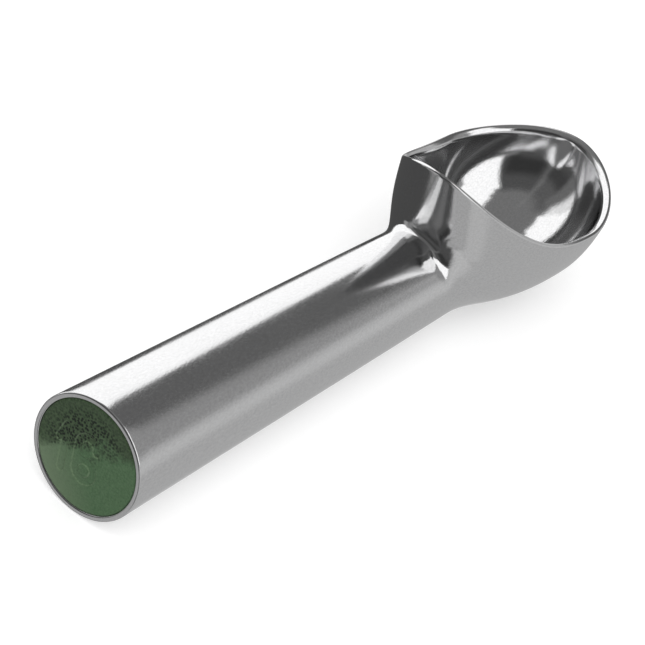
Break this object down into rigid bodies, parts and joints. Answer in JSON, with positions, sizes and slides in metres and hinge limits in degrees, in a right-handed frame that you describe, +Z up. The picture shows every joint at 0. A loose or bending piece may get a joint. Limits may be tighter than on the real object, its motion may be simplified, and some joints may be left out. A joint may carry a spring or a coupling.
{
  "type": "ice cream scoop",
  "caption": "One-piece cast aluminium ice cream scoop with a hollow fluid-filled handle, a high-backed oval bowl and a green plastic end cap in the butt.",
  "frame": {"origin": "centre of the flat butt face, on the axis of the handle", "axes": "+X runs along the handle from the butt to the lip of the bowl, +Z points up out of the mouth of the bowl, and the XZ plane is the plane in which both sides match"},
  "size_m": [0.1848, 0.0458, 0.0463],
  "materials": {
    "cast_aluminium": "satin polished outside, bright polished in the bowl",
    "heat_fluid": "clear liquid",
    "plug_aluminium": "turned",
    "seal_rubber": "matte black rubber",
    "green_plastic": "moulded green plastic with a lightly pebbled face"
  },
  "bodies": {
    "root": {"scoop_casting": "cast_aluminium", "heat_fluid": "heat_fluid", "bore_plug": "plug_aluminium", "plug_ring": "seal_rubber", "end_cap": "green_plastic"}
  },
  "joints": []
}
